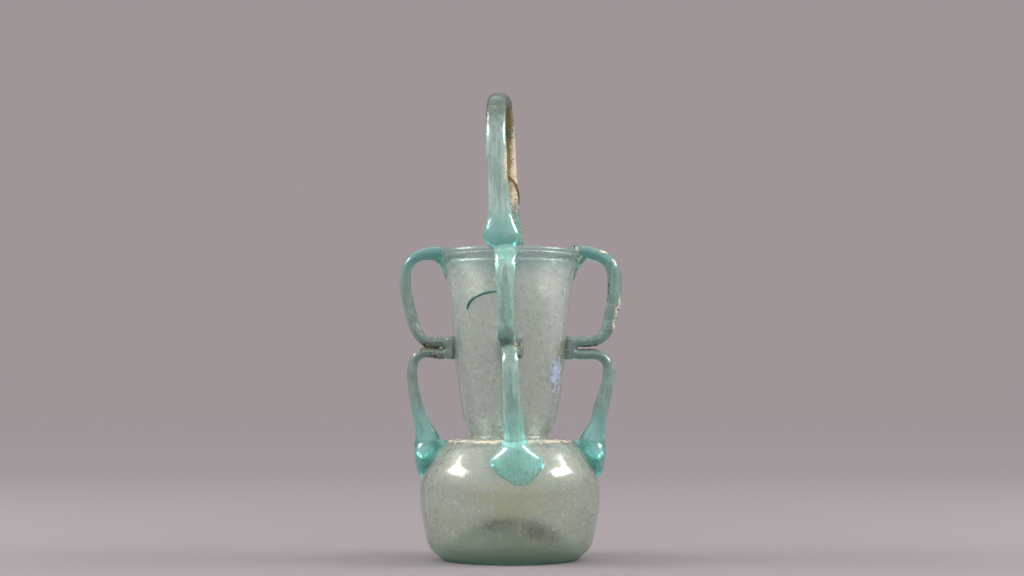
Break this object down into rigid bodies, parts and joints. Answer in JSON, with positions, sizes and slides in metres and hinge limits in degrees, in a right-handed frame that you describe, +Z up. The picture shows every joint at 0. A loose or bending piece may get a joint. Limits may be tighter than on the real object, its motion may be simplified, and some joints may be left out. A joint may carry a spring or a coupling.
{
  "type": "glass jar",
  "caption": "Free-blown late Roman glass jar: squat body with a pushed-in base, tall funnel neck, basket handle over the mouth and looped side handles that end in drops on the shoulder",
  "frame": {"origin": "the middle of the ring that the jar stands on, at its lowest point", "axes": "+Z up along the axis of the body and neck; -Y is the front, towards the camera; +X to its right"},
  "size_m": [0.101, 0.1004, 0.2101],
  "materials": {
    "pale_glass": "smooth, weathered, transparent",
    "teal_glass": "smooth, transparent",
    "dark_thread": "smooth",
    "stained_thread": "smooth"
  },
  "bodies": {
    "root": {"blown_vessel": "pale_glass", "basket_handle": "teal_glass", "side_handle_left": "teal_glass", "side_handle_right": "teal_glass", "side_handle_front": "teal_glass", "side_handle_back": "teal_glass", "neck_thread": "dark_thread", "handle_thread": "stained_thread"}
  },
  "joints": []
}
